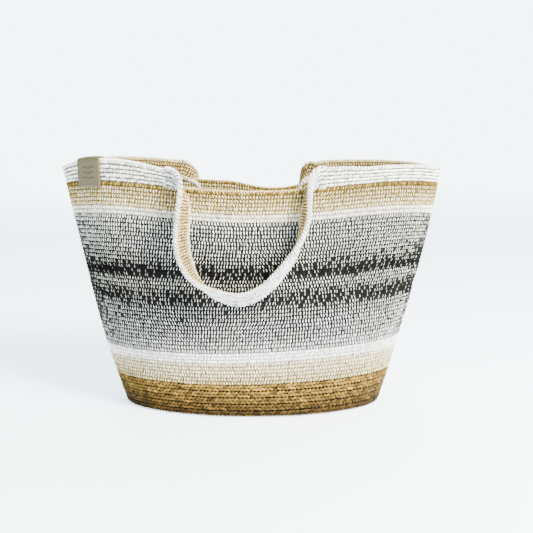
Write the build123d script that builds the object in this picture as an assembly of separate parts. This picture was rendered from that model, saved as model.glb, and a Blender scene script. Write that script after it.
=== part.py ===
"""Crocheted beach bag: an oval tote worked in rounds from jute and cotton yarn, with two strap handles.

Units are millimetres. X runs along the bag, -Y is the front, +Z is up, and the origin is the centre of the
underside. The wall is a stack of oval rings, one for each yarn colour. Its five top rounds are the rim band:
it is joined to the wall only round the two ends of the bag, and between them it runs free as the handles,
which hang down outside the front and the back and swing up over the mouth.
"""

import os
from math import pi, sin

from build123d import *

# ---- the body ----
FABRIC = 6.5  # thickness of the crochet
BASE_EDGE_RADIUS = 3.0  # where the base turns up into the wall
BASE_HALF_LENGTH, BASE_HALF_DEPTH = 173.0, 84.6
LENGTH_FLARE, LENGTH_BEND = 0.314, -0.000216  # growth of the half length with height, and with height squared
DEPTH_FLARE, DEPTH_BEND = 0.107, -0.000041  # the same for the half depth
BODY_LEVELS = [0.0, 90.0, 180.0, 270.0, 360.0]  # heights of the ovals that the wall is drawn through
RING_TOPS = {  # height of each ring's top edge at the middle of the bag, before the climb below is added
    "jute_wall": 43.0,
    "cream_band_lower": 71.5,
    "white_band_lower": 84.5,
    "grey_band_lower": 156.0,
    "charcoal_band": 205.0,
    "grey_band_upper": 255.0,
    "white_band_upper": 265.0,
    "gold_rim_band": 293.0,
}
RIM_TOP = 318.0  # top of the rim band, also at the middle
SAG_HEIGHT = 300.0  # the rounds' sag is given at this height
SAG_RISE, SAG_DROP = 39.0, 34.0  # how far a round rises from the middle, and how much of that it loses at the ends
CLIMB, CLIMB_TOP = 12.0, 240.0  # how far rounds rise towards the right end, and the height where that has ended
LINE_STEPS = 4  # points on each half of a round's line
REACH = 275.0  # half the width of the cutting shapes, beyond the ends of the bag

# ---- the handles ----
FOOT_LEFT, FOOT_RIGHT = -103.0, 90.0  # where the rim band leaves the wall
STRAP_WIDTH = 26.0
STRAP_THICKNESS = 6.5
STRAP_REAR = -108.5  # y of the hanging strap's rear edge
STRAP_TOP = 280.0  # upper ends of the hanging strap
STRAP_LINE = [  # (x, z) along the middle of the hanging strap, from the left foot to the right foot
    (-81.0, STRAP_TOP),
    (-84.0, 238.0),
    (-70.0, 189.0),
    (-14.0, 161.0),
    (33.0, 191.0),
    (60.0, 234.0),
    (69.0, STRAP_TOP),
]
ROOT_HEIGHT = 24.0  # height of a root where it joins the rim band
ROOT_THICKNESS = 5.0
ROOT_GAP = 0.4  # between a root and the strap that it carries
ROOT_TURN = (13.0, -15.0, -3.0)  # from a foot to the middle of its root: towards the strap, outwards and down
ROOT_TURN_LEAN = (0.0, -0.6, 0.8)  # which way the root's top edge leans there
ROOT_TURN_AHEAD = (0.8, -0.36, -0.27)  # which way the root runs there

# ---- the label ----
LABEL_THICKNESS = 1.5
LABEL_CLEAR = 0.3  # between the label and the rim band
LABEL_FROM, LABEL_TO = -218.0, -187.0  # its two ends, measured along X
LABEL_DROP = 34.0  # how far each leaf hangs below the rim
STITCH_LENGTH, STITCH_WIDTH = 2.6, 0.8
STITCH_CLEAR = 0.1  # between a stitch and the leather
STITCHES = 6  # on each leaf of the label
STITCH_MARGIN = 3.0  # from the leaf's lower edge to the stitches


def half_length(z):
    """Half the bag's outer length at height z."""
    return BASE_HALF_LENGTH + LENGTH_FLARE * z + LENGTH_BEND * z * z


def half_depth(z):
    """Half the bag's outer depth at height z."""
    return BASE_HALF_DEPTH + DEPTH_FLARE * z + DEPTH_BEND * z * z


def round_height(x, middle):
    """Height at x of one round: it sags in the middle and at the ends, and low rounds climb to the right."""
    end = x / half_length(middle)
    t = end * end
    sag = (middle / SAG_HEIGHT) ** 2 * (SAG_RISE * t - SAG_DROP * t * t)
    climb = CLIMB * sin(pi * min(middle / CLIMB_TOP, 1)) * ((1 + end) / 2) ** 2
    return middle + sag + climb


def wall_y(x, z):
    """Y of the front wall's outer face at a place along the bag."""
    return -half_depth(z) * (1 - (x / half_length(z)) ** 2) ** 0.5


def oval_body(inset=0.0):
    """The bag's whole outer shape as a solid, drawn in by inset."""
    ovals = [Plane.XY.offset(z) * Ellipse(half_length(z) - inset, half_depth(z) - inset) for z in BODY_LEVELS]
    return loft(ovals)


def shell(outer, inner):
    """A skin of the bag's shape between two insets."""
    return oval_body(outer) - oval_body(inner)


def round_line(middle):
    """The line of one round, seen from the front."""
    places = [REACH * i / LINE_STEPS for i in range(-LINE_STEPS, LINE_STEPS + 1)]
    return Spline([(x, round_height(x, middle)) for x in places])


def between_rounds(low, high):
    """The space between two rounds, right through the bag. A low of 0 is the level at the foot of the wall."""
    top = round_line(high)
    bottom = round_line(low) if low else Line((-REACH, FABRIC), (REACH, FABRIC))
    sides = [Line(bottom @ 1, top @ 1), Line(top @ 0, bottom @ 0)]
    face = Plane.XZ.offset(-REACH) * make_face([bottom, top, *sides])
    return extrude(face, 2 * REACH)


def block(x0, x1, y0, y1, z0, z1):
    """A box between two corners."""
    return Pos((x0 + x1) / 2, (y0 + y1) / 2, (z0 + z1) / 2) * Box(x1 - x0, y1 - y0, z1 - z0)


def base_panel():
    """The oval jute base, worked flat, with its lower edge rounded."""
    panel = extrude(Ellipse(half_length(0), half_depth(0)), FABRIC)
    return fillet(panel.faces().sort_by(Axis.Z)[0].edges(), BASE_EDGE_RADIUS)


def wall_rings(wall):
    """The wall, one ring for each yarn colour, standing on the base."""
    rings = {}
    low = 0.0
    for name, high in RING_TOPS.items():
        rings[name] = wall & between_rounds(low, high)
        low = high
    return rings


def rim_bands(wall):
    """The joined parts of the top rounds, which wrap round the ends of the bag between the handles' feet."""
    whole = wall & between_rounds(RING_TOPS["gold_rim_band"], RIM_TOP)
    left = whole & block(-REACH, FOOT_LEFT, -REACH, REACH, 0, 2 * RIM_TOP)
    right = whole & block(FOOT_RIGHT, REACH, -REACH, REACH, 0, 2 * RIM_TOP)
    return {"rim_band_left": left, "rim_band_right": right}


def strap_edge(offset):
    """The strap's line moved sideways, outwards from the loop if offset is positive."""
    last = len(STRAP_LINE) - 1
    moved = []
    for i, (x, z) in enumerate(STRAP_LINE):
        before, after = STRAP_LINE[max(i - 1, 0)], STRAP_LINE[min(i + 1, last)]
        along = Vector(after[0] - before[0], after[1] - before[1]).normalized()
        side = Vector(along.Y, -along.X) * offset
        moved.append((x + side.X, STRAP_TOP if i in (0, last) else z + side.Y))
    return moved


def strap():
    """The front strap as it hangs: a U-shaped ribbon whose width stands out from the wall."""
    outside = strap_edge(STRAP_THICKNESS / 2)
    inside = strap_edge(-STRAP_THICKNESS / 2)[::-1]
    outline = [Spline(outside), Line(outside[-1], inside[0]), Spline(inside), Line(inside[-1], outside[0])]
    face = Plane.XZ.offset(-STRAP_REAR) * make_face(outline)
    return extrude(face, STRAP_WIDTH)


def root(foot, strap_x):
    """The front root at one foot: the rim band turning from upright along the wall to the hanging strap."""
    inward = 1.0 if strap_x > foot else -1.0
    low, high = round_height(foot, RING_TOPS["gold_rim_band"]), round_height(foot, RIM_TOP)
    middle = (low + high) / 2
    face_y = wall_y(foot, middle) + FABRIC / 2
    start = Plane(origin=(foot, face_y, middle), x_dir=(0, 0, 1), z_dir=(inward, 0, 0))
    across, out, down = ROOT_TURN
    ahead_x, ahead_y, ahead_z = ROOT_TURN_AHEAD
    turn = Plane(
        origin=(foot + inward * across, face_y + out, middle + down),
        x_dir=ROOT_TURN_LEAN,
        z_dir=(inward * ahead_x, ahead_y, ahead_z),
    )
    end = Plane(
        origin=(strap_x, STRAP_REAR - STRAP_WIDTH / 2, STRAP_TOP + ROOT_GAP),
        x_dir=(0, -1, 0),
        z_dir=(0, 0, -1),
    )
    sections = [
        start * Rectangle(ROOT_HEIGHT, ROOT_THICKNESS),
        turn * Rectangle(ROOT_HEIGHT, ROOT_THICKNESS),
        end * Rectangle(STRAP_WIDTH, STRAP_THICKNESS),
    ]
    return loft(sections)


def handles():
    """Both straps and their four roots: the back ones are the front ones mirrored."""
    front = {
        "front_handle_strap": strap(),
        "front_left_handle_root": root(FOOT_LEFT, STRAP_LINE[0][0]),
        "front_right_handle_root": root(FOOT_RIGHT, STRAP_LINE[-1][0]),
    }
    back = {name.replace("front", "back"): mirror(solid, Plane.XZ) for name, solid in front.items()}
    return {**front, **back}


def label_zone(low, high):
    """The space over the front left corner of the bag between the label's two ends."""
    return block(LABEL_FROM, LABEL_TO, -REACH, 0, low, high)


def label_leaf(outer, inner, low, high):
    """A stretch of leather between two insets from the bag's outer face."""
    return shell(outer, inner) & label_zone(low, high)


def label_height():
    """Height of the underside of the label's fold, clear of the rim's highest point under it."""
    return max(round_height(LABEL_FROM, RIM_TOP), round_height(LABEL_TO, RIM_TOP)) + LABEL_CLEAR


def label_patch():
    """The leather label, folded over the rim band: an outer leaf, an inner leaf and the fold that joins them."""
    fold = label_height()
    top = fold + LABEL_THICKNESS
    low = fold - LABEL_DROP
    reach = LABEL_CLEAR + LABEL_THICKNESS
    outer_leaf = label_leaf(-reach, -LABEL_CLEAR, low, top)
    inner_leaf = label_leaf(FABRIC + LABEL_CLEAR, FABRIC + reach, low, top)
    bridge = label_leaf(-reach, FABRIC + reach, fold, top)
    return outer_leaf + inner_leaf + bridge


def label_stitches():
    """The row of thread stitches along the lower edge of each leaf of the label."""
    z = label_height() - LABEL_DROP + STITCH_MARGIN
    out = LABEL_CLEAR + LABEL_THICKNESS + STITCH_WIDTH / 2 + STITCH_CLEAR
    solids = []
    for inset in (-out, FABRIC + out):
        a, b = half_length(z) - inset, half_depth(z) - inset
        for i in range(STITCHES):
            x = LABEL_FROM + (LABEL_TO - LABEL_FROM) * (i + 0.5) / STITCHES
            y = -b * (1 - (x / a) ** 2) ** 0.5
            along = Vector(-y * a / b, x * b / a, 0).normalized()
            place = Plane(origin=(x, y, z), x_dir=along, z_dir=(0, 0, 1))
            solids.append(place * Box(STITCH_LENGTH, STITCH_WIDTH, STITCH_WIDTH))
    return Compound(children=[box.solid() for box in solids])


def main():
    os.makedirs("parts", exist_ok=True)
    wall = shell(0.0, FABRIC)
    nodes = {
        "base_panel": base_panel(),
        **wall_rings(wall),
        **rim_bands(wall),
        **handles(),
        "label_patch": label_patch(),
        "label_stitches": label_stitches(),
    }
    for name, shape in nodes.items():
        export_step(shape, f"parts/{name}.step")


main()
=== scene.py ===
import math

import bpy
import numpy as np
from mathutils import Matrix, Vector


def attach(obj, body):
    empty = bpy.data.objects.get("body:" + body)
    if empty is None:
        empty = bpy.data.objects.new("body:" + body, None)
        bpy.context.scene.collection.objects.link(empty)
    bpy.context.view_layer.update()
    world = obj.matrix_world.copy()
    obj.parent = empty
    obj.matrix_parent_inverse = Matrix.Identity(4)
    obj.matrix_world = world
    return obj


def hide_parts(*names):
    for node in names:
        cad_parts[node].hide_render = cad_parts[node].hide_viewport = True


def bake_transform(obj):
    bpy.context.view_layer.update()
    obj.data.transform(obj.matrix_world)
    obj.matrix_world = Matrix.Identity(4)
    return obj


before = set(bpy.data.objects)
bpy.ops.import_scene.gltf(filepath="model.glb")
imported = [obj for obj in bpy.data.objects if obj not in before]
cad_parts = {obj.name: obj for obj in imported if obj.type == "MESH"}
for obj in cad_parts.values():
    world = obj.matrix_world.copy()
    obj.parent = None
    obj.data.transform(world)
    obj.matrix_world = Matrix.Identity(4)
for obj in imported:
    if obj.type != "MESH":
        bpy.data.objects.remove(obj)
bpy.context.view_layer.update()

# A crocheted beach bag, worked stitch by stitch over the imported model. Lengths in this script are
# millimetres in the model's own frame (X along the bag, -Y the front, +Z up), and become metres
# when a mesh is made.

MM = 0.001
rng = np.random.default_rng(12)

# ---- the bag's shape, the same as the model's ----
FABRIC = 6.5
BASE_HALF_LENGTH, BASE_HALF_DEPTH = 173.0, 84.6
SAG_HEIGHT, SAG_RISE, SAG_DROP = 300.0, 39.0, 34.0
RIM_TOP = 318.0
FOOT_LEFT, FOOT_RIGHT = -103.0, 90.0
STRAP_WIDTH = 26.0
BAND_LOW = 293.0  # where the rim band begins, at the middle
# How far rounds rise towards the right end, and the height where that has ended
CLIMB, CLIMB_TOP = 12.0, 240.0

# ---- how the soft fabric departs from that shape ----
# The rim band slouches: how far its top edge has sunk, from the left end to the right end
SLOUCH_AT = (-1.0, -0.90, -0.80, -0.60, -0.50, -0.42, 0.36, 0.45, 0.58, 0.80, 1.0)
SLOUCH_FRONT = (6.0, 2.0, 0.0, 0.5, 3.0, 5.5, 2.0, 3.5, 7.0, 7.0, 6.0)
SLOUCH_BACK = (6.0, 2.0, 0.0, 0.0, 0.0, 0.0, 0.0, 0.5, 3.0, 6.0, 6.0)
# The back's rim hangs lower over a stretch of X, and the rounds below it follow from this height up
BACK_DIP, BACK_DIP_AT, BACK_DIP_HALF = 10.0, 35.0, 75.0
BACK_DIP_FROM = 200.0
FOLD_RADIUS = 3.0  # where the wall turns in to meet the base
# Soft fabric swells and ripples: how far it stands out, and how fast that changes with height
SWELL, SWELL_RISE = 1.5, 62.0
RIPPLE, RIPPLE_RISE = 1.0, 47.0
# It also has a soft crease: how deep, how high up, half its width, and its tilt up to the left
CREASE, CREASE_AT, CREASE_HALF, CREASE_TILT = 1.3, 172.0, 9.0, 7.0
SOFT_FROM = 90.0  # the height from which swells, ripples and crease have their full size

# ---- yarn colours, sRGB ----
CREAM = (0.86, 0.80, 0.59)
WHITE = (0.95, 0.945, 0.91)
BAND_WHITE = (0.87, 0.86, 0.81)
# Strap whites, darker than WHITE as painted shade; its rows take the two in turn
STRAP_WHITE, STRAP_PAINTED_SHADE = (0.88, 0.88, 0.86), (0.76, 0.76, 0.75)
IVORY = (0.74, 0.66, 0.44)
GOLD_LIGHT = (0.42, 0.30, 0.075)
# Painted shade: the rim band's core colour, darker than its white yarn, for the gaps between rows
BAND_CORE_PAINTED_SHADE = (0.36, 0.34, 0.29)
JUTE_LIGHT = (0.49, 0.385, 0.17)
JUTE = (0.42, 0.32, 0.145)
# Darker jute: painted shade and dirt in the lowest rows, painted shade in the base's core
JUTE_DARK = (0.19, 0.14, 0.06)
# Painted shade: the jute's core colour, darker than the jute, for the gaps between stitches
JUTE_CORE_PAINTED_SHADE = (0.10, 0.065, 0.025)
# Painted light: the base's jute is lighter than the wall's, against the shade inside the bag
BASE_JUTE_PAINTED_LIGHT = (0.62, 0.50, 0.28)
LEATHER = (0.29, 0.256, 0.132)
LEATHER_MARK = (0.09, 0.075, 0.04)
THREAD = (0.24, 0.21, 0.13)

# How the cotton changes with height: the grains, the thread between them, and the share of the
# stitches that have a grain
SHADES = [
    (43.0, (0.90, 0.84, 0.66), (0.50, 0.41, 0.22), 0.88),
    (57.0, (0.94, 0.91, 0.79), (0.62, 0.54, 0.37), 0.95),
    (71.0, (0.94, 0.91, 0.81), (0.68, 0.62, 0.48), 0.97),
    (72.0, (0.97, 0.965, 0.94), (0.91, 0.90, 0.86), 1.00),
    (84.0, (0.97, 0.965, 0.94), (0.90, 0.89, 0.85), 1.00),
    (85.0, (0.95, 0.945, 0.91), (0.40, 0.40, 0.38), 0.90),
    (100.0, (0.94, 0.935, 0.90), (0.20, 0.20, 0.19), 0.77),
    (125.0, (0.93, 0.92, 0.88), (0.11, 0.11, 0.105), 0.62),
    (142.0, (0.92, 0.91, 0.86), (0.07, 0.07, 0.065), 0.52),
    (150.0, (0.88, 0.87, 0.81), (0.04, 0.04, 0.036), 0.38),
    (157.0, (0.86, 0.85, 0.78), (0.03, 0.03, 0.027), 0.27),
    (165.0, (0.88, 0.86, 0.79), (0.04, 0.04, 0.036), 0.38),
    (175.0, (0.92, 0.90, 0.84), (0.08, 0.08, 0.07), 0.72),
    (180.0, (0.88, 0.87, 0.80), (0.04, 0.04, 0.036), 0.42),
    (184.0, (0.84, 0.83, 0.76), (0.02, 0.02, 0.018), 0.17),
    (189.0, (0.84, 0.83, 0.76), (0.02, 0.02, 0.018), 0.15),
    (195.0, (0.88, 0.87, 0.80), (0.03, 0.03, 0.027), 0.34),
    (204.0, (0.90, 0.89, 0.82), (0.055, 0.055, 0.05), 0.50),
    (218.0, (0.93, 0.915, 0.855), (0.14, 0.14, 0.13), 0.81),
    (240.0, (0.93, 0.92, 0.86), (0.165, 0.165, 0.153), 0.85),
    (254.0, (0.94, 0.93, 0.88), (0.24, 0.24, 0.215), 0.88),
    (256.0, (0.95, 0.94, 0.90), (0.78, 0.75, 0.66), 1.00),
    (264.0, (0.95, 0.94, 0.90), (0.80, 0.74, 0.60), 1.00),
    (266.0, (0.94, 0.91, 0.80), (0.62, 0.52, 0.26), 0.94),
    (277.0, (0.94, 0.91, 0.80), (0.52, 0.42, 0.17), 0.85),
    (287.0, (0.92, 0.88, 0.74), (0.46, 0.365, 0.135), 0.72),
    (291.0, (0.84, 0.77, 0.52), (0.43, 0.335, 0.12), 0.20),
]


def linear(colour):
    """An sRGB colour, or an array of them, as scene-linear values."""
    c = np.asarray(colour, float)
    return np.where(c <= 0.04045, c / 12.92, ((c + 0.055) / 1.055) ** 2.4)


# ---- surfaces: each maps (u, v, w) to a point, where w stands out from the fabric ----
class Oval:
    """Rounds of an oval: u runs from the left end by the front, in half turns; v picks one."""

    STEPS = 401  # places in half a turn whose angles are kept
    FINE = 2001  # places from which they are worked out
    handed = 1  # -1 where u, v and w are left-handed, so that faces are turned over

    def __init__(self, top, count):
        self.levels = np.linspace(0.0, top, count)
        self.spacing = self.levels[1]
        fine = np.linspace(0.0, math.pi, self.FINE)
        even = np.linspace(0.0, 1.0, self.STEPS)
        self.angles = np.empty((count, self.STEPS))
        self.runs = np.empty(count)
        for i, level in enumerate(self.levels):
            speed = np.hypot(self.half_length(level) * np.sin(fine),
                             self.half_depth(level) * np.cos(fine))
            step = (speed[1:] + speed[:-1]) / 2 * (fine[1] - fine[0])
            path = np.concatenate([[0.0], np.cumsum(step)])
            self.runs[i] = path[-1]
            self.angles[i] = np.interp(even, path / path[-1], fine)

    def run(self, v):
        """Millimetres of fabric in one half turn."""
        return np.interp(v, self.levels, self.runs)

    def angle(self, u, v):
        """The angle round the oval, so that equal steps of u are equal lengths of fabric."""
        half = np.floor(u)
        across = np.clip((u - half) * (self.STEPS - 1), 0, self.STEPS - 1.001)
        up = np.clip(v / self.spacing, 0, len(self.levels) - 1.001)
        i, j = up.astype(int), across.astype(int)
        fi, fj = up - i, across - j
        low = self.angles[i, j] * (1 - fj) + self.angles[i, j + 1] * fj
        high = self.angles[i + 1, j] * (1 - fj) + self.angles[i + 1, j + 1] * fj
        return math.pi * half + low * (1 - fi) + high * fi


class Wall(Oval):
    """The wall: v is a round's height at the middle of the front."""

    LENGTH_FLARE, LENGTH_BEND = 0.314, 0.000216  # how its half length grows with height
    DEPTH_FLARE, DEPTH_BEND = 0.107, 0.000041

    def __init__(self):
        super().__init__(335.0, 68)

    def half_length(self, z):
        return BASE_HALF_LENGTH + self.LENGTH_FLARE * z - self.LENGTH_BEND * z * z

    def half_depth(self, z):
        return BASE_HALF_DEPTH + self.DEPTH_FLARE * z - self.DEPTH_BEND * z * z

    @staticmethod
    def handwork(angle, z):
        """How far soft fabric stands proud of the plain oval: slow waves, and a soft crease."""
        swell = SWELL * np.sin(2 * angle + 0.6) * np.sin(z / SWELL_RISE)
        ripple = RIPPLE * np.sin(5 * angle + z / RIPPLE_RISE)
        across = (z - CREASE_AT - CREASE_TILT * np.cos(angle)) / CREASE_HALF
        crease = CREASE * np.exp(-(across**2)) * (0.6 - 0.4 * np.cos(angle))
        return (swell + ripple - crease) * np.clip(z / SOFT_FROM, 0, 1)

    @staticmethod
    def slouch(angle, v, x):
        """How far a round has sunk: the rim band at its ends, and the middle of the back's rim."""
        end = -np.cos(angle)
        behind = np.sin(angle) < 0
        sunk = np.where(behind, np.interp(end, SLOUCH_AT, SLOUCH_BACK),
                        np.interp(end, SLOUCH_AT, SLOUCH_FRONT))
        band = sunk * np.clip((v - BAND_LOW) / (RIM_TOP - BAND_LOW), 0, 1.1)
        dip = BACK_DIP * np.clip(1 - ((x - BACK_DIP_AT) / BACK_DIP_HALF) ** 2, 0, 1) ** 2
        follow = np.clip((v - BACK_DIP_FROM) / (BAND_LOW - BACK_DIP_FROM), 0, 1) ** 2
        return band + behind * dip * follow

    def place(self, x, v, back=False):
        """u where the round at v passes x."""
        angle = np.arccos(np.clip(-x / self.half_length(v), -1, 1))
        row = int(round(v / self.spacing))
        u = float(np.interp(angle, self.angles[row], np.linspace(0, 1, self.STEPS)))
        return ROUND - u if back else u

    def point(self, u, v, w):
        u, v, w = np.broadcast_arrays(u, v, w)
        angle = self.angle(u, v)
        t = np.cos(angle) ** 2
        share = np.clip(v, 0, None) / SAG_HEIGHT
        to_right = ((1 - np.cos(angle)) / 2) ** 2
        z = v + share**2 * (SAG_RISE * t - SAG_DROP * t * t)
        z = z + CLIMB * np.sin(math.pi * np.clip(v / CLIMB_TOP, 0, 1)) * to_right
        a, b = self.half_length(z), self.half_depth(z)
        x, y = -a * np.cos(angle), -b * np.sin(angle)
        z = z - self.slouch(angle, v, x)
        slope_a = self.LENGTH_FLARE - 2 * self.LENGTH_BEND * z
        slope_b = self.DEPTH_FLARE - 2 * self.DEPTH_BEND * z
        flare = x**2 * slope_a / a**3 + y**2 * slope_b / b**3
        normal = np.stack([x / a**2, y / b**2, -flare], -1)
        normal /= np.linalg.norm(normal, axis=-1, keepdims=True)
        fold = np.clip((FOLD_RADIUS - v) / FOLD_RADIUS, 0, 1)
        inset = FOLD_RADIUS * (1 - np.sqrt(1 - fold**2))
        out = w - inset + self.handwork(angle, z)
        return np.stack([x, y, z], -1) + normal * out[..., None]


class Base(Oval):
    """One face of the flat base: v is the distance in from the edge, and w goes up or down."""

    INNERMOST = 84.0  # the smallest oval's distance in from the edge

    def __init__(self, height, up):
        super().__init__(self.INNERMOST, 43)
        self.height, self.up = height, up
        self.handed = up

    @staticmethod
    def half_length(v):
        return BASE_HALF_LENGTH - v

    @staticmethod
    def half_depth(v):
        return BASE_HALF_DEPTH - v

    def point(self, u, v, w):
        u, v, w = np.broadcast_arrays(u, v, w)
        angle = self.angle(u, np.clip(v, 0, self.INNERMOST))
        a, b = self.half_length(v), np.maximum(self.half_depth(v), 0)
        return np.stack([-a * np.cos(angle), -b * np.sin(angle), self.height + self.up * w], -1)


class Ribbon:
    """A strap: u runs along it, v up from its lower edge, and w out of its white face."""

    STEPS = 400

    def __init__(self, stations, mirrored=False):
        self.handed = -1 if mirrored else 1
        centre, across = (self.curve(np.array(keys, float)) for keys in zip(*stations))
        if mirrored:
            centre[:, 1] *= -1
            across[:, 1] *= -1
        along = np.gradient(centre, axis=0)
        along /= np.linalg.norm(along, axis=1, keepdims=True)
        across -= along * np.sum(along * across, axis=1, keepdims=True)
        across /= np.linalg.norm(across, axis=1, keepdims=True)
        step = np.linalg.norm(np.diff(centre, axis=0), axis=1)
        self.s = np.concatenate([[0.0], np.cumsum(step)])
        self.centre, self.across = centre, across
        self.out = np.cross(along, across) * self.handed
        keys = np.arange(len(stations))
        self.keys_at = np.interp(keys, np.linspace(0, keys[-1], self.STEPS), self.s)

    def curve(self, keys):
        """A smooth Catmull-Rom curve through the keys."""
        padded = np.vstack([2 * keys[0] - keys[1], keys, 2 * keys[-1] - keys[-2]])
        t = np.linspace(0, len(keys) - 1, self.STEPS)
        i = np.clip(t.astype(int), 0, len(keys) - 2)
        f = (t - i)[:, None]
        p0, p1, p2, p3 = padded[i], padded[i + 1], padded[i + 2], padded[i + 3]
        return 0.5 * (2 * p1 + (p2 - p0) * f + (2 * p0 - 5 * p1 + 4 * p2 - p3) * f**2
                      + (3 * p1 - p0 - 3 * p2 + p3) * f**3)

    def run(self, v):
        """Lengths along a strap are millimetres already."""
        return np.ones(np.shape(v))

    def sample(self, table, u):
        return np.stack([np.interp(u, self.s, table[:, k]) for k in range(3)], -1)

    def point(self, u, v, w):
        u, v, w = np.broadcast_arrays(u, v, w)
        centre, across, out = (self.sample(t, u) for t in (self.centre, self.across, self.out))
        up, proud = (v - STRAP_WIDTH / 2)[..., None], (w + FABRIC / 2)[..., None]
        return centre + across * up + out * proud


# ---- yarn laid on a surface ----
ROUND = 2.0  # one full turn of u
CORE_DEPTH = 1.7  # from either face of the fabric to its solid middle
CAP_STRIP = 0.08  # share of a tube's length that its end faces take in the UV maps
CELL_EDGE = 0.12  # bare share along each edge of a tube's cell in the bake map


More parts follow.
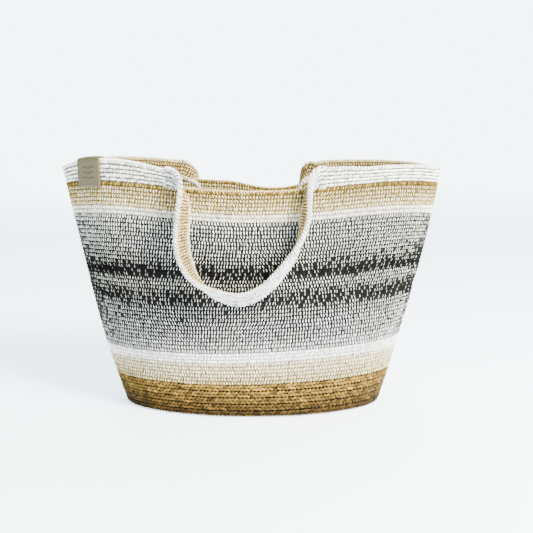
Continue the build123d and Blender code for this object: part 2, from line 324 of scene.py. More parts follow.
class Yarn:
    """Collects tubes and sheets for one mesh, with their colours and their places in the UVs."""

    def __init__(self):
        self.points, self.colours, self.quads, self.cells, self.along = [], [], [], [], []
        self.count, self.cell_count = 0, 0

    def add(self, points, colours, quads, cells, along):
        self.points.append(points.reshape(-1, 3))
        self.colours.append(colours.reshape(-1, 3))
        self.quads.append(quads + self.count)
        self.cells.append(cells)
        self.along.append(along)
        self.count += points.size // 3

    def tubes(self, surface, u, v, path, radius, colour, sides=4, edgewise=False):
        """Lays a tube at each (u, v). path and radius hold its stations, as offsets in mm."""
        n, k = path.shape[:2]
        v = np.broadcast_to(v, n)
        tangent = np.gradient(path, axis=1)
        tangent /= np.linalg.norm(tangent, axis=2, keepdims=True) + 1e-9
        reference = np.array([1.0, 0, 0]) if edgewise else np.array([0, 0, 1.0])
        side = np.cross(tangent, reference)
        side /= np.linalg.norm(side, axis=2, keepdims=True) + 1e-9
        top = np.cross(side, tangent)
        turn = 2 * math.pi * np.arange(sides) / sides
        ring = (side[:, :, None] * np.cos(turn)[:, None] * radius[:, :, None, None]
                + top[:, :, None] * np.sin(turn)[:, None] * radius[:, :, None, None])
        local = path[:, :, None] + ring
        run = surface.run(v)[:, None, None]
        points = surface.point(u[:, None, None] + local[..., 0] / run,
                               v[:, None, None] + local[..., 1], local[..., 2])
        colours = np.broadcast_to(linear(colour)[:, None, None, :], points.shape)
        s, j = np.meshgrid(np.arange(k - 1), np.arange(sides), indexing="ij")
        here, there, beside = s * sides, (s + 1) * sides, (j + 1) % sides
        faces = np.stack([here + j, there + j, there + beside, here + beside], -1).reshape(-1, 4)
        across = np.stack([j, j, j + 1, j + 1], -1).reshape(-1, 4) / sides
        length = np.stack([s, s + 1, s + 1, s], -1).reshape(-1, 4) / (k - 1)
        place = np.stack([length, across], -1)
        fan = np.array([[0, c, c + 1, c + 2] for c in range(1, sides - 1, 2)])
        foot = np.array([[-CAP_STRIP, 0], [-CAP_STRIP, 1], [0, 1], [0, 0]])
        head = np.array([[1, 0], [1, 1], [1 + CAP_STRIP, 1], [1 + CAP_STRIP, 0]])
        faces = np.concatenate([faces, fan, fan[:, ::-1] + (k - 1) * sides])
        caps = [np.tile(cap, (len(fan), 1, 1)) for cap in (foot, head)]
        place = np.concatenate([place, *caps])
        if surface.handed < 0:
            faces, place = faces[:, ::-1], place[:, ::-1]
        quads = (faces[None] + (np.arange(n) * k * sides)[:, None, None]).reshape(-1, 4)
        cells = np.repeat(np.arange(n) + self.cell_count, faces.shape[0])
        self.cell_count += n
        self.add(points, colours, quads, cells, np.tile(place, (n, 1, 1)))

    def strip(self, surface, us, outer, inner, colour, closed=False):
        """Solid material between an outer and an inner line of (v, w), closed or with two ends. us
        holds a place for each section, or one for every point of each section."""
        line = np.concatenate([outer, inner[::-1]])
        v, w = line[:, 0], line[:, 1]
        us = np.reshape(us, (len(us), -1))
        count, ring = len(us), len(v)
        points = surface.point(us, v[None], w[None])
        i = np.arange(count if closed else count - 1)[:, None]
        j = np.arange(ring)[None]
        here, there, beside = i * ring, (i + 1) % count * ring, (j + 1) % ring
        quads = np.stack([here + j, there + j, there + beside, here + beside], -1).reshape(-1, 4)
        if not closed:
            k = np.arange(len(outer) - 1)
            cap = np.stack([k, k + 1, ring - 2 - k, ring - 1 - k], -1)
            quads = np.concatenate([quads, cap, cap[:, ::-1] + (count - 1) * ring])
        if surface.handed < 0:
            quads = quads[:, ::-1]
        place = np.tile(np.array([[0, 0], [1, 0], [1, 1], [0, 1]], float), (len(quads), 1, 1))
        cells = np.arange(len(quads)) + self.cell_count
        self.cell_count += len(quads)
        self.add(points, np.broadcast_to(linear(colour), points.shape), quads, cells, place)

    def core(self, surface, vs, colour, us=None, sections=0):
        """The solid middle of the fabric behind the stitches: at us, or in sections all round."""
        closed = us is None
        if closed:
            us = np.linspace(0.0, ROUND, sections, endpoint=False)
        outer = np.stack([vs, np.full(len(vs), -CORE_DEPTH)], -1)
        inner = np.stack([vs, np.full(len(vs), CORE_DEPTH - FABRIC)], -1)
        self.strip(surface, us, outer, inner, colour, closed)

    def make(self, name, material):
        """The finished mesh object."""
        points, quads = np.concatenate(self.points) * MM, np.concatenate(self.quads)
        mesh = bpy.data.meshes.new(name)
        mesh.vertices.add(len(points))
        mesh.vertices.foreach_set("co", points.astype(np.float32).ravel())
        mesh.loops.add(quads.size)
        mesh.loops.foreach_set("vertex_index", quads.astype(np.int32).ravel())
        mesh.polygons.add(len(quads))
        mesh.polygons.foreach_set("loop_start", np.arange(0, quads.size, 4, dtype=np.int32))
        mesh.update(calc_edges=True)
        mesh.polygons.foreach_set("use_smooth", np.ones(len(quads), bool))
        colours = np.concatenate(self.colours)
        yarn = mesh.color_attributes.new("Yarn", "FLOAT_COLOR", "POINT")
        rgba = np.concatenate([colours, np.ones((len(colours), 1))], 1)
        yarn.data.foreach_set("color", rgba.astype(np.float32).ravel())
        place, cells = np.concatenate(self.along), np.concatenate(self.cells)
        grid = math.ceil(math.sqrt(self.cell_count))
        corner = np.stack([cells % grid, cells // grid], -1)[:, None, :]
        atlas = (corner + CELL_EDGE + (1 - 2 * CELL_EDGE) * place) / grid
        for uv_map, uv in (("Strand", place), ("OFBake", atlas)):
            layer = mesh.uv_layers.new(name=uv_map)
            layer.data.foreach_set("uv", uv.astype(np.float32).ravel())
        mesh.materials.append(material)
        obj = bpy.data.objects.new(name, mesh)
        bpy.context.scene.collection.objects.link(obj)
        return obj


# ---- materials ----
class Nodes:
    """A node tree, and the few steps that its materials are made of."""

    def __init__(self, owner):
        owner.use_nodes = True
        self.nodes, self.links = owner.node_tree.nodes, owner.node_tree.links

    def add(self, kind, inputs=None, **settings):
        """A new node with its settings. inputs gives sockets a link or a value each."""
        node = self.nodes.new(kind)
        for setting, value in settings.items():
            setattr(node, setting, value)
        self.put(node, inputs or {})
        return node

    def put(self, node, inputs):
        for name, value in inputs.items():
            if isinstance(value, bpy.types.NodeSocket):
                self.links.new(value, node.inputs[name])
            else:
                node.inputs[name].default_value = value

    def math(self, operation, *values):
        """The result of a sum or a function of links and numbers."""
        return self.add("ShaderNodeMath", dict(enumerate(values)), operation=operation).outputs[0]

    def map_range(self, value, source, target, interpolation="SMOOTHSTEP"):
        """A value carried from one range to another."""
        ends = dict(zip(("From Min", "From Max", "To Min", "To Max"), (*source, *target)))
        node = self.add("ShaderNodeMapRange", {"Value": value, **ends},
                        interpolation_type=interpolation)
        return node.outputs["Result"]

    def here(self):
        """The place on the object."""
        return self.add("ShaderNodeTexCoord").outputs["Object"]

    def noise(self, scale, detail):
        """Fine noise that keeps its place on the object."""
        inputs = {"Vector": self.here(), "Scale": scale, "Detail": detail}
        return self.add("ShaderNodeTexNoise", inputs).outputs["Fac"]

    def yarn_colour(self, factor):
        """The stitch's own colour, made lighter or darker by a factor."""
        colour = self.add("ShaderNodeAttribute", attribute_name="Yarn").outputs["Color"]
        tint = self.add("ShaderNodeVectorMath", {0: colour, "Scale": factor}, operation="SCALE")
        return tint.outputs[0]

    def raised(self, height, strength, distance):
        """The direction of a surface raised by a height. The distance is in metres."""
        inputs = {"Height": height, "Strength": strength, "Distance": distance}
        return self.add("ShaderNodeBump", inputs).outputs[0]


PLY_RELIEF, FIBRE_RELIEF = 0.6, 0.8  # how much each raises the yarn
# Painted shade: the yarn is painted darker where its plies and fibres are low
PAINTED_SHADE_LOW, PAINTED_SHADE_SPAN = 0.74, 0.35  # the yarn's lightness where it is lowest, and what height adds


def yarn_material(name, average, roughness=0.88, sheen=0.03, plies=3.0, twist=2.0,
                  fibre_scale=900.0, bump=0.35):
    """Spun yarn: the stitch's own colour, with painted shade between the plies, and a soft sheen.
    """
    material = bpy.data.materials.new(name)
    tree = Nodes(material)
    strand_map = tree.add("ShaderNodeUVMap", uv_map="Strand").outputs["UV"]
    split = tree.add("ShaderNodeSeparateXYZ", {0: strand_map})
    lengthwise = tree.math("MULTIPLY", split.outputs[0], twist * 2 * math.pi)
    phase = tree.math("MULTIPLY_ADD", split.outputs[1], plies * 2 * math.pi, lengthwise)
    ply = tree.math("MULTIPLY_ADD", tree.math("SINE", phase), 0.5, 0.5)
    fibres = tree.math("MULTIPLY", tree.noise(fibre_scale, 3.0), FIBRE_RELIEF)
    relief = tree.math("MULTIPLY_ADD", ply, PLY_RELIEF, fibres)
    # painted shade in the grooves between plies and fibres
    shade = tree.math("MULTIPLY_ADD", relief, PAINTED_SHADE_SPAN, PAINTED_SHADE_LOW)
    shader = tree.nodes["Principled BSDF"]
    shader.inputs["Base Color"].default_value = (*linear(average), 1)
    tree.put(shader, {
        "Base Color": tree.yarn_colour(shade), "Roughness": roughness, "Sheen Weight": sheen,
        "Sheen Roughness": 0.5, "Specular IOR Level": 0.06,
        "Normal": tree.raised(relief, bump, 0.0006)})
    return material


def leather_material():
    """Matt vegetable-tanned leather with a fine grain."""
    material = bpy.data.materials.new("label_leather")
    tree = Nodes(material)
    grain = tree.noise(700.0, 4.0)
    spread = tree.map_range(grain, (0.0, 1.0), (0.82, 1.14), "LINEAR")
    shader = tree.nodes["Principled BSDF"]
    shader.inputs["Base Color"].default_value = (*linear(LEATHER), 1)
    tree.put(shader, {"Base Color": tree.yarn_colour(spread), "Roughness": 0.62,
                      "Normal": tree.raised(grain, 0.3, 0.0003)})
    return material


# ---- stitches ----
# Shapes of a strand, as each station's share of the way, how far it stands proud, and its share
# of the radius
ROUNDED = ((0.0, 0.28, 0.72, 1.0), (0.0, 1.0, 1.0, 0.0), (0.42, 1.0, 1.0, 0.42))
HUMPED = ((0.0, 0.5, 1.0), (0.0, 1.0, 0.0), (0.8, 1.0, 0.8))
# How far a strand strays sideways, the share of that it strays up and each station adds, and how
# much its depth and radius vary
STRAY, STRAY_UP, STRAY_MORE = 0.25, 0.8, 0.3
DEPTH_VARIES, RADIUS_VARIES = 0.15, 0.1
COTTON_UNEVEN, ROPE_UNEVEN, BRAID_UNEVEN, HAIR_UNEVEN, EDGE_UNEVEN = 0.07, 0.10, 0.18, 0.12, 0.04


def uneven(colours, amount):
    """Each stitch a little lighter or darker than the next."""
    return np.clip(colours * (1 + rng.normal(0, amount, (len(colours), 1))), 0, 1)


def spread_over(n, colour):
    """One colour, or one for each, as a colour for each of n stitches."""
    return np.broadcast_to(np.asarray(colour, float), (n, 3))


def strand(n, foot, head, depth, tuck, radius, inside=False, loose=STRAY, shape=ROUNDED):
    """n strands from foot (across, up) to head, at a depth below one face and with tucked ends."""
    face, deep = (-FABRIC + below if inside else -below for below in (depth, depth + tuck))
    share, proud, thick = (np.array(values) for values in shape)
    path = np.zeros((n, len(share), 3))
    stray = rng.normal(0, loose, (n, len(share), 2))
    sideways = foot[0] + (head[0] - foot[0]) * share
    path[..., 0] = sideways + stray[:, :1, 0] + STRAY_MORE * stray[..., 0]
    path[..., 1] = foot[1] + (head[1] - foot[1]) * share + STRAY_UP * stray[:, :1, 1]
    path[..., 2] = deep + (face - deep) * proud + rng.normal(0, DEPTH_VARIES, (n, 1))
    size = radius * thick * (1 + rng.normal(0, RADIUS_VARIES, (n, 1)))
    return path, size


# Waves over the fabric: the size of each, how many to half a turn, over what height it moves on by
# one, and its phase. LEANS is the sideways lean of the stitches, CLOUDS the lightness of the dye.
LEAN, LEANS = 0.10, ((0.65, 2.0, 260.0, -1.23), (0.30, 2.5, -120.0, 0.0))
CLOUDS = ((0.05, 0.5, 37.0, 0.0), (0.04, 3.0, -17.0, 0.0))


def waves_over(u, v, waves, level=0.0):
    """Waves on top of a level."""
    return sum((size * np.sin(2 * math.pi * (count * u + v / rise) + phase)
                for size, count, rise, phase in waves), level)


# Below this share of grains some stitches have none, and this many when no grains are left
SPARSE, DROPPED = 0.50, 0.66
DROPPED_TINT = 0.12  # how much of the grain's colour a stitch without one keeps
THINNEST = 0.30  # the thinnest grain against the thickest
GOLDEN = 0.618  # steps of this share of a turn have no rhythm, so dropped stitches stay scattered
SCATTER = 0.12  # how far chance moves each of those steps
GRAIN_RADIUS, THREAD_RADIUS = 0.225, 0.25  # against the pitch
GRAIN_REACH, THREAD_REACH = 0.43, 0.5  # from the middle to an end, against the row's height
GRAIN_PROUD, THREAD_PROUD = 0.3, 0.1  # out of the fabric's face, and above the grains
GRAIN_TUCK, THREAD_DIP = 1.6, 0.7  # how far their ends go in
SLANT_VARIES = 0.22


def grain_row(yarn, surface, u, v, height, pitch, grain, thread, share, lean, inside=False):
    """One row of cotton crochet: a light grain in each stitch, and a darker thread up beside it."""
    n = len(u)
    grain, thread = spread_over(n, grain), spread_over(n, thread)
    draw = (np.arange(n) * GOLDEN + rng.random() + rng.uniform(-SCATTER, SCATTER, n)) % 1.0
    lit = draw < 1 - DROPPED * np.clip(1 - share / SPARSE, 0, 1)
    dropped = DROPPED_TINT * grain + (1 - DROPPED_TINT) * thread
    front = np.where(lit[:, None], grain, dropped)
    slant = lean * (-1 if inside else 1) + rng.normal(0, SLANT_VARIES, n)

    size, reach = GRAIN_RADIUS * pitch, GRAIN_REACH * height
    depth = size - GRAIN_PROUD
    path, radius = strand(n, (0, -reach), (0, reach), depth, GRAIN_TUCK, size, inside)
    radius = radius * np.broadcast_to(THINNEST + (1 - THINNEST) * share, n)[:, None]
    path[..., 0] += slant[:, None] * (path[..., 1] / reach)
    yarn.tubes(surface, u, v, path, radius, uneven(front, COTTON_UNEVEN))

    size, reach, beside = THREAD_RADIUS * pitch, THREAD_REACH * height, 0.5 * pitch
    path, radius = strand(n, (beside, -reach), (beside, reach), depth - THREAD_PROUD, THREAD_DIP,
                          size, inside, shape=HUMPED)
    path[..., 0] += slant[:, None] * (path[..., 1] / reach)
    yarn.tubes(surface, u, v, path, radius, uneven(thread, COTTON_UNEVEN))


TURN_REACH, TURN_LOOSE = 0.62, 0.06  # half a turn's length and its stray, against the pitch
ROPE_RADIUS, ROPE_LIFT = 0.33, 0.26  # against the row's height
ROPE_PROUD, ROPE_TUCK = 0.4, 1.8
BRAID_RADIUS, BRAID_FOOT, BRAID_HEAD = 0.165, 0.07, 0.37  # against the row's height
BRAID_PROUD, BRAID_TUCK = 0.6, 1.6


def rope_row(yarn, surface, u, v, height, pitch, tone):
    """One row worked tight, where each stitch lies over the next like the turns of a rope."""
    n = len(u)
    size, reach, lift = ROPE_RADIUS * height, TURN_REACH * pitch, ROPE_LIFT * height
    path, radius = strand(n, (-reach, -lift), (reach, lift), size - ROPE_PROUD, ROPE_TUCK, size,
                          loose=TURN_LOOSE * pitch)
    yarn.tubes(surface, u, v, path, radius, uneven(spread_over(n, tone), ROPE_UNEVEN))


def braid_row(yarn, surface, u, v, height, pitch, tone, inside=False):
    """One row of thick crochet: two strands to a stitch, parting like a V on its side."""
    n = len(u)
    size, reach = BRAID_RADIUS * height, TURN_REACH * pitch
    for side in (-1, 1):
        foot, head = (-reach, BRAID_FOOT * height * side), (reach, BRAID_HEAD * height * side)
        path, radius = strand(n, foot, head, size - BRAID_PROUD, BRAID_TUCK, size, inside,
                              TURN_LOOSE * pitch)
        colours = uneven(spread_over(n, tone), BRAID_UNEVEN)
        yarn.tubes(surface, u, v, path, radius, colours, sides=6)


EDGE_RADIUS = 0.33 * np.array([0.6, 1.0, 1.0, 1.0, 0.6])  # of a loop's stations, against its pitch
EDGE_BULGE, EDGE_BELOW, EDGE_DEPTH = 1.5, 1.2, 0.5  # over the edge, where it begins, under the face
EDGE_VARIES, EDGE_VARIES_UP = 0.15, 0.12


def edge_row(yarn, surface, u, v, side, pitch, colour):
    """Loops that wrap an edge from one face to the other: a top edge (side 1) or a lower (-1)."""
    n, k = len(u), len(EDGE_RADIUS)
    swing = np.linspace(0.0, math.pi, k)
    path = np.zeros((n, k, 3))
    path[..., 0] = -0.5 * pitch * np.cos(swing) + rng.normal(0, EDGE_VARIES, (n, 1))
    rise = EDGE_BULGE * np.sin(swing) - EDGE_BELOW
    path[..., 1] = side * rise + rng.normal(0, EDGE_VARIES_UP, (n, 1))
    path[..., 2] = -FABRIC / 2 + (FABRIC / 2 - EDGE_DEPTH) * np.cos(swing)
    radius = np.broadcast_to(pitch * EDGE_RADIUS, (n, k))
    colours = uneven(spread_over(n, colour), EDGE_UNEVEN)
    yarn.tubes(surface, u, v, path, radius, colours, edgewise=True)


def stitch_places(surface, v, pitch, start, stop, shift=0.0):
    """Evenly spaced places of one row's stitches."""
    count = max(2, round(float(surface.run(v)) * (stop - start) / pitch))
    return start + (stop - start) * (np.arange(count) + 0.5 + shift) / count


def finish_piece(piece, body, node):
    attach(piece, body)
    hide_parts(node)


# ---- the wall and base ----
COTTON_PITCH = 3.75
JUTE_PITCH, BASE_PITCH = 5.0, 5.7
EDGE_PITCH = 4.1
WALL_SECTIONS, BASE_SECTIONS = 240, 160  # of their cores, in one turn
# Painted shade: the cores are darker than their yarn, for the gaps between stitches
CORE_PAINTED_SHADE = 0.45  # how dark the cotton's core is against its thread
FULL_SHARE = 0.99  # from this share of grains up, every stitch has one

wall = Wall()
cotton = yarn_material("cotton_yarn", CREAM)
jute = yarn_material("jute_yarn", JUTE, roughness=0.95, sheen=0.02, plies=2.0, twist=2.4,
                     fibre_scale=1500.0, bump=0.7)
leather = leather_material()

BANDS = [  # piece, CAD node, bottom, top, rows, material slot
    ("cream_rounds", "cream_band_lower", 43.0, 71.5, 6, "cream_cotton"),
    ("white_lower_rounds", "white_band_lower", 71.5, 84.5, 3, "white_cotton"),
    ("grey_lower_rounds_a", "grey_band_lower", 84.5, 120.2, 7, "grey_cotton"),
    ("grey_lower_rounds_b", "grey_band_lower", 120.2, 156.0, 7, "grey_cotton"),
    ("charcoal_rounds_a", "charcoal_band", 156.0, 180.5, 5, "charcoal_cotton"),
    ("charcoal_rounds_b", "charcoal_band", 180.5, 205.0, 5, "charcoal_cotton"),
    ("grey_upper_rounds_a", "grey_band_upper", 205.0, 230.0, 5, "grey_cotton"),
    ("grey_upper_rounds_b", "grey_band_upper", 230.0, 255.0, 5, "grey_cotton"),
    ("white_upper_rounds", "white_band_upper", 255.0, 265.0, 2, "white_cotton"),
    ("gold_rounds", "gold_rim_band", 265.0, 293.0, 6, "gold_cotton"),
]


def shade_at(v):
    """The grain colour, thread colour and share of grains at a height."""
    heights, grains, threads, shares = zip(*SHADES)
    grain, thread = (np.array([np.interp(v, heights, channel) for channel in zip(*colours)])
                     for colours in (grains, threads))
    return grain, thread, float(np.interp(v, heights, shares))


ROW_VARIES = 0.07  # how much one row is lighter or darker than the next
# Waves of the dye round one row, as how many to a turn and how far each goes
STREAKS = ((3, 0.05), (7, 0.07), (13, 0.07), (22, 0.05))
# Rows that are darker towards an end: how much, the row's height, and how far that spreads
BLACKEST, GOLDEST, DARK_STREAK = (0.9, 187.0, 5.5), (0.8, 291.0, 3.0), (1.4, 149.0, 7.5)
BLACK_FROM = 0.45  # share of the way to an end from which the blackest row is at its darkest
# Painted shade and shadow: rows above SLOPE_AT are darker to the right and rows below it to the
# left, by SLOPE at the ends. In the right half the rows above it darken by RIGHT_SLOPE instead,
# and no more from RIGHT_TO on.
SLOPE_AT, SLOPE_OVER, SLOPE = 180.0, 30.0, 0.18
RIGHT_SLOPE, RIGHT_TO = 0.4, 0.5
# Painted shade: all cotton is darker towards both ends of the bag
COTTON_ENDS_PAINTED_SHADE = 0.34  # how much darker all cotton is at both ends
NEAR_FROM, NEAR_OVER = 0.62, 0.3  # share of the way to an end where that begins, and its spread


def streaky(u):
    """How one row's dye comes and goes along it: about 1, and lower where the row is darker."""
    waves = [size * np.sin(math.pi * count * u + rng.uniform(0, 2 * math.pi))
             for count, size in STREAKS]
    return 1.0 + rng.normal(0, ROW_VARIES) + sum(waves)


def end_of(u):
    """-1 at the left end of the bag, 0 in the middle and 1 at the right end."""
    return 1 - 2 * np.abs(1 - u)


def near_ends(end):
    """0 over the middle of the bag, growing to 1 near its ends."""
    return np.clip((np.abs(end) - NEAR_FROM) / NEAR_OVER, 0, 1)


def darker_row(row, v):
    """How much darker a height is for being near such a row."""
    amount, height, spread = row
    return amount * np.exp(-(((v - height) / spread) ** 2))


def patchy(u, v):
    """Dye shared by neighbouring rows, and painted shade: about 1, lower where darker."""
    end = end_of(u)
    clouds = waves_over(u, v, CLOUDS)
    at_right = (end > 0) & (v > SLOPE_AT)
    # painted shade low on the left, and painted shadow high on the right
    slope = np.where(at_right, RIGHT_SLOPE * np.minimum(end, RIGHT_TO), SLOPE * end)
    slope = slope * np.tanh((v - SLOPE_AT) / SLOPE_OVER)
    blackest = np.clip(np.abs(end) / BLACK_FROM, 0, 1) ** 2 * darker_row(BLACKEST, v)
    goldest = end**2 * darker_row(GOLDEST, v)
    streak = np.clip(end, 0, 1) * darker_row(DARK_STREAK, v)
    # the last term is painted shade at both ends
    return 1.0 - clouds - slope - blackest - goldest - streak - COTTON_ENDS_PAINTED_SHADE * near_ends(end)


def make_wall():
    """The striped cotton wall, with loops along its open top edge."""
    for name, node, low, high, rows, slot in BANDS:
        yarn = Yarn()
        height = (high - low) / rows
        for row in range(rows):
            v = low + height * (row + 0.5)
            shift = 0.5 * (row % 2) + rng.uniform(-0.2, 0.2)
            u = stitch_places(wall, v, COTTON_PITCH, 0.0, ROUND, shift)
            grain, thread, share = shade_at(v)
            share = np.clip(share * patchy(u, v) * streaky(u), 0, 1) if share < FULL_SHARE else 1.0
            for inside in (False, True):
                grain_row(yarn, wall, u, v, height, COTTON_PITCH, grain, thread, share,
                          waves_over(u, v, LEANS, LEAN), inside)
        # painted shade: the core is darker than the thread
        colour = shade_at((low + high) / 2)[1] * CORE_PAINTED_SHADE
        yarn.core(wall, np.linspace(low, high, rows + 1), colour, sections=WALL_SECTIONS)
        if node == "gold_rim_band":
            for back in (False, True):
                ends = sorted(wall.place(x, high, back) for x in (FOOT_LEFT, FOOT_RIGHT))
                u = stitch_places(wall, high, EDGE_PITCH, *ends)
                edge_row(yarn, wall, u, high, 1, EDGE_PITCH, IVORY)
        finish_piece(yarn.make(name, cotton), "bag", node)


JUTE_ROWS, JUTE_TOP = 5, 43.0
# Painted shade: the jute is darker at both ends of the bag
JUTE_ENDS_PAINTED_SHADE = 0.22  # how much darker the jute is at both ends
BASE_OVALS, BASE_RIM = 10, 5.0
JUTE_HAIRS, HAIR_RADIUS = 900, 0.13
HAIR_REACH, HAIR_RISE = 3.5, 2.0  # how far a hair strays along the wall and up it


def jute_hairs(yarn):
    """Loose fibres that stand out of the jute."""
    n = JUTE_HAIRS
    share = np.array([0.0, 0.35, 0.7, 1.0])
    bend = np.array([0.0, 0.8, 1.0, 0.9])
    taper = np.array([1.0, 0.9, 0.7, 0.4])
    path = np.zeros((n, len(share), 3))
    path[..., 0] = rng.normal(0, HAIR_REACH, (n, 1)) * share
    path[..., 1] = rng.normal(0, HAIR_RISE, (n, 1)) * share
    path[..., 2] = -0.8 + rng.uniform(1.0, 2.2, (n, 1)) * bend
    radius = np.broadcast_to(HAIR_RADIUS * taper, (n, len(share)))
    tone = uneven(spread_over(n, JUTE_LIGHT), HAIR_UNEVEN)
    u, v = rng.uniform(0, ROUND, n), rng.uniform(4, JUTE_TOP - 3, n)
    yarn.tubes(wall, u, v, path, radius, tone)


def make_jute_wall():
    """The jute foot of the wall: painted shade and dirt low down, painted shade at both ends."""
    yarn = Yarn()
    height = JUTE_TOP / JUTE_ROWS
    for row in range(JUTE_ROWS):
        v = height * (row + 0.5)
        u = stitch_places(wall, v, JUTE_PITCH, 0.0, ROUND, shift=rng.uniform(-0.4, 0.4))
        # the rows darken towards the bottom: painted shade near the floor, and dirt
        dark = (1 - (row + 0.5) / JUTE_ROWS) ** 1.5
        tone = np.asarray(JUTE_DARK) * dark + np.asarray(JUTE_LIGHT) * (1 - dark)
        # painted shade at both ends
        tones = tone * (1 - JUTE_ENDS_PAINTED_SHADE * near_ends(end_of(u)))[:, None]
        for inside in (False, True):
            braid_row(yarn, wall, u, v, height, JUTE_PITCH, tones, inside)
    vs = np.linspace(0.5, JUTE_TOP, JUTE_ROWS + 1)
    # painted shade: the core is darker than the jute
    yarn.core(wall, vs, JUTE_CORE_PAINTED_SHADE, sections=WALL_SECTIONS)
    jute_hairs(yarn)
    finish_piece(yarn.make("jute_rounds", jute), "bag", "jute_wall")


def make_base():
    """The base, worked flat in ovals on both faces."""
    yarn = Yarn()
    width = (BASE_HALF_DEPTH - BASE_RIM) / BASE_OVALS
    under, over = Base(0.0, -1), Base(FABRIC, 1)
    for oval in range(BASE_OVALS):
        v = BASE_RIM + width * (oval + 0.5)
        for surface in (under, over):
            u = stitch_places(surface, v, BASE_PITCH, 0.0, ROUND)
            # painted light: lighter jute than the wall's
            braid_row(yarn, surface, u, v, width, BASE_PITCH, BASE_JUTE_PAINTED_LIGHT)
    vs = np.array([3.0, 30.0, 60.0, BASE_HALF_DEPTH])
    # painted shade: the base's core is darker than its jute
    yarn.core(under, vs, JUTE_DARK, sections=BASE_SECTIONS)
    finish_piece(yarn.make("base_ovals", jute), "bag", "base_panel")


# ---- the rim band and handles ----
BAND_ROWS, BAND_SECTIONS = 5, 120
BAND_PITCH, INSIDE_PITCH = 4.8, 3.7  # of the white rows outside, and of the grains inside
BAND_LEAN = -1.1
INSIDE_SHARE = 0.72
INSIDE_THREADS = [IVORY, GOLD_LIGHT, GOLD_LIGHT, GOLD_LIGHT, IVORY]  # from the lower edge up


def band_rows(yarn, surface, low, high, start, stop, tones):
    """Rows worked tight and white outside, cream and gold inside, from start(v) to stop(v)."""
    height = (high - low) / BAND_ROWS
    for row in range(BAND_ROWS):
        v = low + height * (row + 0.5)
        u = stitch_places(surface, v, BAND_PITCH, start(v), stop(v), shift=rng.uniform(-0.1, 0.1))
        rope_row(yarn, surface, u, v, height, BAND_PITCH, tones[row % 2])
        u = stitch_places(surface, v, INSIDE_PITCH, start(v), stop(v))
        grain_row(yarn, surface, u, v, height, INSIDE_PITCH, CREAM, INSIDE_THREADS[row],
                  INSIDE_SHARE, BAND_LEAN, inside=True)


def make_rim_band(node, start, stop):
    """The joined part of the rim band round one end of the bag."""
    yarn = Yarn()
    band_rows(yarn, wall, BAND_LOW, RIM_TOP, start, stop, (BAND_WHITE, WHITE))
    u = stitch_places(wall, RIM_TOP, EDGE_PITCH, start(RIM_TOP), stop(RIM_TOP))
    edge_row(yarn, wall, u, RIM_TOP, 1, EDGE_PITCH, WHITE)
    us = np.linspace(start(RIM_TOP), stop(RIM_TOP), BAND_SECTIONS)
    # painted shade: the core is darker than the white yarn
    yarn.core(wall, np.linspace(BAND_LOW, RIM_TOP, BAND_ROWS + 1), BAND_CORE_PAINTED_SHADE, us)
    finish_piece(yarn.make(f"{node}_rounds", cotton), "bag", node)


def make_rim_bands():
    """Both parts of the rim band, each from one foot of the handles to the other."""
    make_rim_band("rim_band_left", lambda v: wall.place(FOOT_LEFT, v, back=True) - ROUND,
                  lambda v: wall.place(FOOT_LEFT, v))
    make_rim_band("rim_band_right", lambda v: wall.place(FOOT_RIGHT, v),
                  lambda v: wall.place(FOOT_RIGHT, v, back=True))


# The front strap as it hangs: the middle of its width, and from there the way to its top edge
STRAP_STATIONS = [
    ((-94.0, -104.5, 307.0), (0.20, -0.45, 0.87)),
    ((-85.5, -110.5, 300.0), (0.15, -0.85, 0.50)),
    ((-81.0, -115.5, 286.0), (-0.30, -0.93, 0.20)),
    ((-82.0, -118.5, 262.0), (-0.50, -0.87, 0.00)),
    ((-84.0, -118.5, 238.0), (-0.52, -0.85, -0.02)),
    ((-80.5, -118.0, 212.0), (-0.48, -0.87, -0.03)),
    ((-68.0, -118.0, 187.0), (-0.28, -0.93, 0.15)),
    ((-45.0, -118.0, 169.5), (-0.05, -0.86, 0.48)),
    ((-14.0, -117.0, 161.0), (0.00, -0.79, 0.62)),
    ((14.0, -117.0, 172.0), (-0.10, -0.82, 0.55)),
    ((34.0, -118.0, 192.0), (-0.25, -0.88, 0.38)),
    ((51.0, -118.5, 215.0), (-0.22, -0.95, 0.20)),
    ((61.0, -119.0, 238.0), (0.08, -0.99, 0.06)),
    ((66.0, -119.0, 262.0), (0.30, -0.95, 0.00)),
    ((68.5, -116.5, 285.0), (0.20, -0.95, 0.20)),
    ((73.5, -111.5, 300.0), (-0.10, -0.85, 0.50)),
    ((81.5, -108.0, 309.0), (-0.18, -0.45, 0.87)),
]
FIRST_KEYS = 2  # stations on the rim band, before the ones above
ROOT_TOP_KEY, ROOT_END_KEY = 2, 14  # stations where the roots end and the strap begins
ON_BAND = 9.0  # from the foot to the station before it
FOOT_LAP = 2.5  # how far a root's stitches run on into the rim band
EDGE_INSET = 0.6  # from a strap's edge to its core


def band_station(x, back):
    """A strap station that lies in the rim band, given as if on the front."""
    middle = (BAND_LOW + RIM_TOP) / 2
    u = wall.place(x, middle, back)
    centre = wall.point(u, middle, -FABRIC / 2)
    up = wall.point(u, RIM_TOP, -FABRIC / 2) - wall.point(u, BAND_LOW, -FABRIC / 2)
    up /= np.linalg.norm(up)
    if back:
        centre, up = centre * [1, -1, 1], up * [1, -1, 1]
    return tuple(centre), tuple(up)


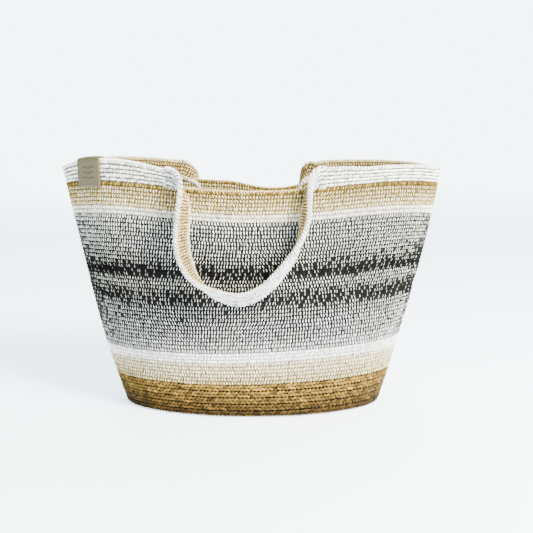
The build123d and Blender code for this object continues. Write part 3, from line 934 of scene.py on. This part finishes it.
def strap_length(yarn, ribbon, start, stop):
    """A stretch of strap, with loops along both edges."""
    # painted shade: the strap takes darker whites than the rim band
    tones = (STRAP_PAINTED_SHADE, STRAP_WHITE)
    band_rows(yarn, ribbon, 0.0, STRAP_WIDTH, lambda v: start, lambda v: stop, tones)
    for v, side in ((STRAP_WIDTH, 1), (0.0, -1)):
        u = stitch_places(ribbon, v, EDGE_PITCH, start, stop)
        edge_row(yarn, ribbon, u, v, side, EDGE_PITCH, STRAP_WHITE)
    us = np.linspace(start, stop, max(6, int((stop - start) / 4)))
    vs = np.linspace(EDGE_INSET, STRAP_WIDTH - EDGE_INSET, BAND_ROWS + 1)
    # painted shade: the core is darker than the white yarn
    yarn.core(ribbon, vs, BAND_CORE_PAINTED_SHADE, us)


def make_handle(side):
    """One handle: a strap on a body of its own, between two roots that curve from the rim band."""
    back = side == "back"
    left = [band_station(FOOT_LEFT - ON_BAND, back), band_station(FOOT_LEFT, back)]
    right = [band_station(FOOT_RIGHT, back), band_station(FOOT_RIGHT + ON_BAND, back)]
    ribbon = Ribbon(left + STRAP_STATIONS + right, mirrored=back)
    at = ribbon.keys_at
    left_foot, left_top = at[1], at[FIRST_KEYS + ROOT_TOP_KEY]
    right_top, right_foot = at[FIRST_KEYS + ROOT_END_KEY], at[-2]
    body = f"{side}_handle"

    yarn = Yarn()
    strap_length(yarn, ribbon, left_top, right_top)
    strap = yarn.make(f"{side}_handle_strap_rounds", cotton)
    finish_piece(strap, body, f"{side}_handle_strap")

    for end, foot, top in (("left", left_foot, left_top), ("right", right_foot, right_top)):
        yarn = Yarn()
        strap_length(yarn, ribbon, *sorted((top, foot + FOOT_LAP * np.sign(foot - top))))
        piece = yarn.make(f"{side}_{end}_root_rounds", cotton)
        foot_at, top_at = (ribbon.point(s, STRAP_WIDTH / 2, -FABRIC / 2) for s in (foot, top))
        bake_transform(piece)
        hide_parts(f"{side}_{end}_handle_root")


# ---- the label ----
LABEL_FROM, LABEL_TO, LABEL_SECTIONS = -218.0, -187.0, 12
LABEL_LOW, LABEL_TOP = 285.5, 320.0  # heights of the leaves' lower edges, and of the fold
LABEL_FOLD = 1.0  # where the fold begins, below its top
LEAF_POINTS = 9  # along each leaf's height, and round the fold
LABEL_THICKNESS, LABEL_PROUD = 1.5, 0.5
WAVES = (297.0, 303.0, 309.0)  # heights of the three wavy lines pressed into the leather
WAVE_FROM, WAVE_TO = 0.27, 0.73  # shares of the label's width where the lines begin and end
WAVE_RADIUS, WAVE_SWING, WAVE_SINKS = 0.85, 1.1, 0.3
LABEL_STITCHES, LABEL_MARGIN = 6, 3.0  # on each leaf, and their distance from its lower edge
STITCH_REACH, STITCH_RADIUS = 1.4, 0.4
STITCH_RISE = np.array([-0.3, 0.15, 0.25, 0.15, -0.3])  # over the leather, along a stitch


def label_line(reach):
    """(v, w) up one leaf, over the fold and down the other, at reach from the fabric's middle."""
    rise = np.linspace(LABEL_LOW, LABEL_TOP - LABEL_FOLD, LEAF_POINTS)
    arc = np.linspace(0, math.pi, LEAF_POINTS)[1:-1]
    fold = LABEL_TOP - LABEL_FOLD + 0.5 * reach * np.sin(arc)
    v = np.concatenate([rise, fold, rise[::-1]])
    leaf = np.ones(LEAF_POINTS)
    away = np.concatenate([leaf, np.cos(arc), -leaf])
    return np.stack([v, -FABRIC / 2 + reach * away], -1)


def make_label():
    """The leather label folded over the rim band, with three wavy lines pressed into it."""
    yarn = Yarn()
    half = FABRIC / 2 + LABEL_PROUD
    outer, inner = label_line(half + LABEL_THICKNESS), label_line(half)
    heights = np.concatenate([outer, inner[::-1]])[:, 0]
    xs = np.linspace(LABEL_FROM, LABEL_TO, LABEL_SECTIONS)
    yarn.strip(wall, [[wall.place(x, v) for v in heights] for x in xs], outer, inner, LEATHER)
    steps = np.linspace(0, 1, 13)
    for height in WAVES:
        start, stop = wall.place(LABEL_FROM, height), wall.place(LABEL_TO, height)
        run = float(wall.run(height)) * (stop - start)
        path = np.zeros((1, len(steps), 3))
        path[0, :, 0] = run * (WAVE_FROM + (WAVE_TO - WAVE_FROM) * steps)
        path[0, :, 1] = WAVE_SWING * np.sin(3 * math.pi * steps)
        path[0, :, 2] = LABEL_PROUD + LABEL_THICKNESS - WAVE_SINKS
        radius = np.full((1, len(steps)), WAVE_RADIUS)
        yarn.tubes(wall, np.array([start]), height, path, radius, spread_over(1, LEATHER_MARK))
    finish_piece(yarn.make("label", leather), "bag", "label_patch")


def make_label_threads():
    """A row of stitches on each leaf of the label."""
    yarn = Yarn()
    n, k = LABEL_STITCHES, len(STITCH_RISE)
    face = LABEL_PROUD + LABEL_THICKNESS
    height = LABEL_LOW + LABEL_MARGIN
    start, stop = wall.place(LABEL_FROM, height), wall.place(LABEL_TO, height)
    u = start + (stop - start) * (np.arange(n) + 0.5) / n
    for w in (face, -FABRIC - face):
        path = np.zeros((n, k, 3))
        path[..., 0] = STITCH_REACH * np.linspace(-1, 1, k)
        path[..., 2] = w + np.sign(w) * STITCH_RISE
        radius = np.full((n, k), STITCH_RADIUS)
        yarn.tubes(wall, u, height, path, radius, spread_over(n, THREAD))
    finish_piece(yarn.make("label_threads", cotton), "bag", "label_stitches")


make_wall()
make_jute_wall()
make_base()
make_rim_bands()
make_handle("front")
make_handle("back")
make_label()
make_label_threads()

# ---- camera and light, in metres ----
CAMERA_PLACE = (0.0192, -1.1146, 0.3608)
CAMERA_PITCH = 9.0  # degrees below level
LENS = 56.13
LIT_PLACE = (0, 0, 0.15)  # where both lights point
STUDIO_TINT = (0.78, 0.90, 1.0)
SKY_FRONT, SKY_BACK = 1.5, 8.0  # the studio's brightness before the bag, and behind it
SKY_LEFT = 0.22  # how much of that is left at the studio's far left
FLOOR_COLOUR = (0.86, 0.90, 0.94)
FLOOR_GLOW = 1.9
FLOOR_NEAR, FLOOR_FAR = 1.2, 5.0  # from the bag, where the floor turns into the backdrop


def place_object(name, data, location):
    """A camera or light in the scene."""
    obj = bpy.data.objects.new(name, data)
    obj.location = location
    bpy.context.scene.collection.objects.link(obj)
    return obj


def area_light(name, location, size, power, colour):
    data = bpy.data.lights.new(name, "AREA")
    data.size, data.energy, data.color = size, power, colour
    light = place_object(name, data, location)
    to_bag = Vector(LIT_PLACE) - Vector(location)
    light.rotation_euler = to_bag.to_track_quat("-Z", "Y").to_euler()


def studio_brightness(tree, direction):
    """Brightness of the studio in a direction: lit behind the bag, softer elsewhere."""
    unit = tree.add("ShaderNodeVectorMath", {0: direction}, operation="NORMALIZE").outputs[0]
    split = tree.add("ShaderNodeSeparateXYZ", {0: unit}).outputs
    depth = tree.map_range(split["Y"], (-0.2, 0.9), (SKY_FRONT, SKY_BACK))
    side = tree.map_range(split["X"], (-0.9, -0.3), (SKY_LEFT, 1.0))
    return tree.math("MULTIPLY", depth, side)


def studio_world():
    """The studio all round the bag."""
    world = bpy.data.worlds.new("studio")
    tree = Nodes(world)
    direction = tree.add("ShaderNodeTexCoord").outputs["Generated"]
    tree.put(tree.nodes["Background"], {"Color": (*STUDIO_TINT, 1),
                                        "Strength": studio_brightness(tree, direction)})
    return world


def floor_material():
    """A white glowing floor that turns into the backdrop far from the bag, with no edge."""
    material = bpy.data.materials.new("floor")
    tree = Nodes(material)
    near = tree.nodes["Principled BSDF"]
    tree.put(near, {"Base Color": (*FLOOR_COLOUR, 1), "Roughness": 0.8,
                    "Emission Color": (*STUDIO_TINT, 1), "Emission Strength": FLOOR_GLOW})
    backdrop = studio_brightness(tree, tree.here())
    far = tree.add("ShaderNodeEmission", {"Color": (*STUDIO_TINT, 1), "Strength": backdrop})
    away = tree.add("ShaderNodeVectorMath", {0: tree.here()}, operation="LENGTH").outputs["Value"]
    share = tree.map_range(away, (FLOOR_NEAR, FLOOR_FAR), (0.0, 1.0))
    mixed = tree.add("ShaderNodeMixShader", {0: share, 1: near.outputs[0], 2: far.outputs[0]})
    tree.put(tree.nodes["Material Output"], {"Surface": mixed.outputs[0]})
    return material


camera_data = bpy.data.cameras.new("camera")
camera_data.lens = LENS
camera = place_object("camera", camera_data, CAMERA_PLACE)
camera.rotation_euler = (math.radians(90 - CAMERA_PITCH), 0, 0)
bpy.context.scene.camera = camera
area_light("key", (1.25, -1.15, 1.45), size=0.8, power=310, colour=(1.0, 0.975, 0.93))
area_light("fill", (-1.6, -0.9, 1.3), size=1.6, power=8, colour=(0.85, 0.93, 1.0))
bpy.context.scene.world = studio_world()

bpy.ops.mesh.primitive_plane_add(size=60)
floor = bpy.context.object
floor.name = "floor"
floor.data.materials.append(floor_material())
